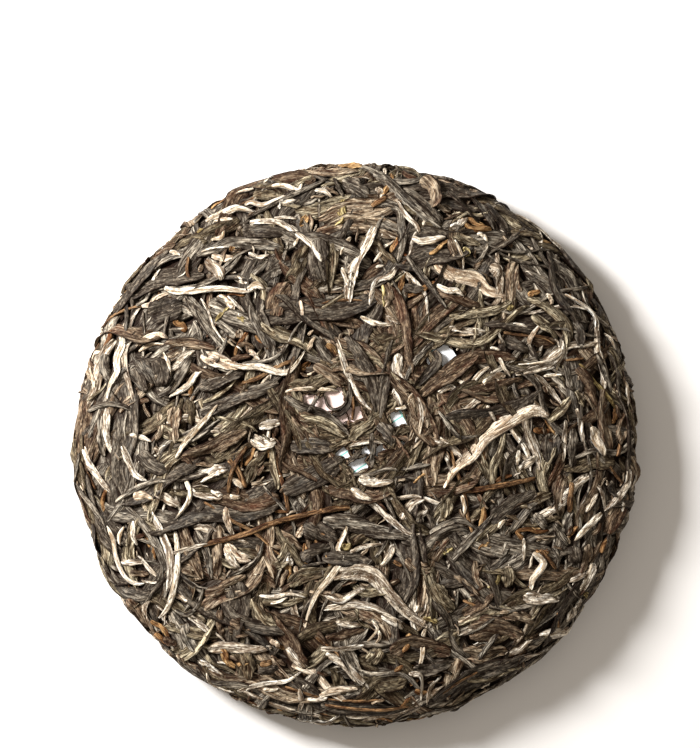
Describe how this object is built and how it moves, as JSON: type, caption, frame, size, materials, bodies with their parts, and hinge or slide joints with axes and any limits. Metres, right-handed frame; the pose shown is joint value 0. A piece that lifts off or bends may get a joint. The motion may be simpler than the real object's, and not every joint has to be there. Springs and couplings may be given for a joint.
{
  "type": "pu erh tea cake",
  "caption": "Round, gently domed cake of pressed whole-leaf tea with a hollow in its back and a paper ticket under its top leaves.",
  "frame": {"origin": "middle of the flat ring that the cake rests on, at the level of the surface under it", "axes": "+Z out of the domed face, +X to the right of the face, +Y to its top"},
  "size_m": [0.1978, 0.1976, 0.0257],
  "materials": {
    "tea": "dry twisted leaves, matt with a faint sheen",
    "paper": "thin uncoated paper"
  },
  "bodies": {
    "root": {"tea_cake": "tea", "ticket": "paper"}
  },
  "joints": []
}
